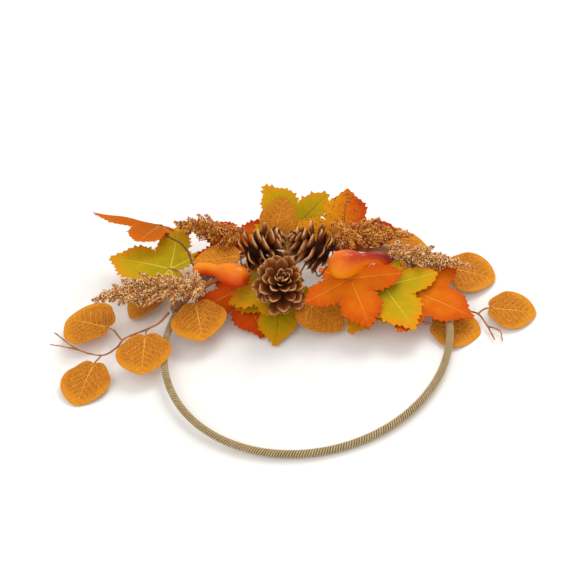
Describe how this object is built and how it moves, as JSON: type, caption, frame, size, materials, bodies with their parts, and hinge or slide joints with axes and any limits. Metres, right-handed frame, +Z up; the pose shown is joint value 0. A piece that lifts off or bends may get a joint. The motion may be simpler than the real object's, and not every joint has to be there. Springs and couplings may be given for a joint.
{
  "type": "door wreath",
  "caption": "Jute-wrapped hoop carrying a swag of fabric autumn leaves, pine cones, gourds, seed sprays and two trailing penny-leaf branches.",
  "frame": {"origin": "middle of the bottom of the bounding box, on the floor that the wreath lies on", "axes": "+X along the swag, to the right seen from the front; +Y towards the hoop's 12 o'clock; +Z up, out of the wreath's front"},
  "size_m": [0.5108, 0.3654, 0.0811],
  "materials": {
    "jute_twine": "matt, tightly wound twine",
    "steel_wire": "dull annealed wire",
    "floral_tape": "crinkled waxed paper tape",
    "olive_leaf_fabric": "dyed and coated polyester, satin",
    "orange_leaf_fabric": "dyed and coated polyester, satin",
    "red_leaf_fabric": "dyed and speckled polyester, satin",
    "printed_leaf_fabric": "polyester printed with a fine vein net, matt",
    "pinecone_scales": "dry, dull scales with pale tips",
    "gourd_skin": "lacquered foam, glossy",
    "cream_seeds": "lacquered foam seeds",
    "copper_seeds": "lacquered foam seeds",
    "gold_seeds": "lacquered foam seeds"
  },
  "bodies": {
    "wreath": {"cone_pick_front": "steel_wire", "cone_pick_left": "steel_wire", "cone_pick_right": "steel_wire", "gourd_left": "gourd_skin", "gourd_pick_left": "steel_wire", "gourd_pick_right": "steel_wire", "gourd_right": "gourd_skin", "hoop_core": "steel_wire", "jute_wrap": "jute_twine", "maple_olive_bottom": "olive_leaf_fabric", "maple_olive_centre": "olive_leaf_fabric", "maple_olive_left": "olive_leaf_fabric", "maple_olive_low": "olive_leaf_fabric", "maple_olive_right": "olive_leaf_fabric", "maple_olive_top": "olive_leaf_fabric", "maple_orange_centre": "orange_leaf_fabric", "maple_orange_left": "orange_leaf_fabric", "maple_orange_right": "orange_leaf_fabric", "maple_red": "red_leaf_fabric", "maple_spotted": "red_leaf_fabric", "penny_left_back": "printed_leaf_fabric", "penny_left_inner": "printed_leaf_fabric", "penny_right_top": "printed_leaf_fabric", "penny_right_under": "printed_leaf_fabric", "penny_right_upper": "printed_leaf_fabric", "pinecone_front": "pinecone_scales", "pinecone_left": "pinecone_scales", "pinecone_right": "pinecone_scales", "rose_bottom": "printed_leaf_fabric", "rose_left": "printed_leaf_fabric", "rose_top": "printed_leaf_fabric", "spray_copper": "copper_seeds", "spray_cream_right": "cream_seeds", "spray_gold": "gold_seeds", "spray_stalk_copper": "floral_tape", "spray_stalk_cream_right": "floral_tape", "spray_stalk_gold": "floral_tape", "swag_tape": "floral_tape", "swag_wire": "steel_wire", "tie_wire_left_1": "steel_wire", "tie_wire_left_2": "steel_wire", "tie_wire_right_1": "steel_wire", "tie_wire_right_2": "steel_wire"},
    "left_branch": {"left_branch_stem": "floral_tape", "penny_left_far": "printed_leaf_fabric", "penny_left_lower": "printed_leaf_fabric", "penny_left_low": "printed_leaf_fabric"},
    "right_branch": {"right_branch_stem": "floral_tape", "penny_right_far": "printed_leaf_fabric"},
    "left_spray": {"spray_cream_left": "cream_seeds", "spray_stalk_cream_left": "floral_tape"},
    "flag": {"flag_twig": "floral_tape", "maple_flag": "orange_leaf_fabric"}
  },
  "joints": [
    {"name": "left_branch_swing", "type": "hinge", "parent": "wreath", "child": "left_branch", "pos_m": [-0.12067, 0.03318, 0.02648], "axis": [0, -0.0698, 0.9976], "range_deg": [-12, 5]},
    {"name": "right_branch_swing", "type": "hinge", "parent": "wreath", "child": "right_branch", "pos_m": [0.15632, 0.03318, 0.02648], "axis": [0, -0.0698, 0.9976], "range_deg": [-3, 10]},
    {"name": "left_spray_lift", "type": "hinge", "parent": "wreath", "child": "left_spray", "pos_m": [-0.08468, 0.0592, 0.03271], "axis": [0.2405, 0.9683, 0.0677], "range_deg": [0, 20]},
    {"name": "flag_lift", "type": "hinge", "parent": "wreath", "child": "flag", "pos_m": [-0.07624, 0.06631, 0.03262], "axis": [0.886, 0.4625, 0.0323], "range_deg": [0, 20]}
  ]
}
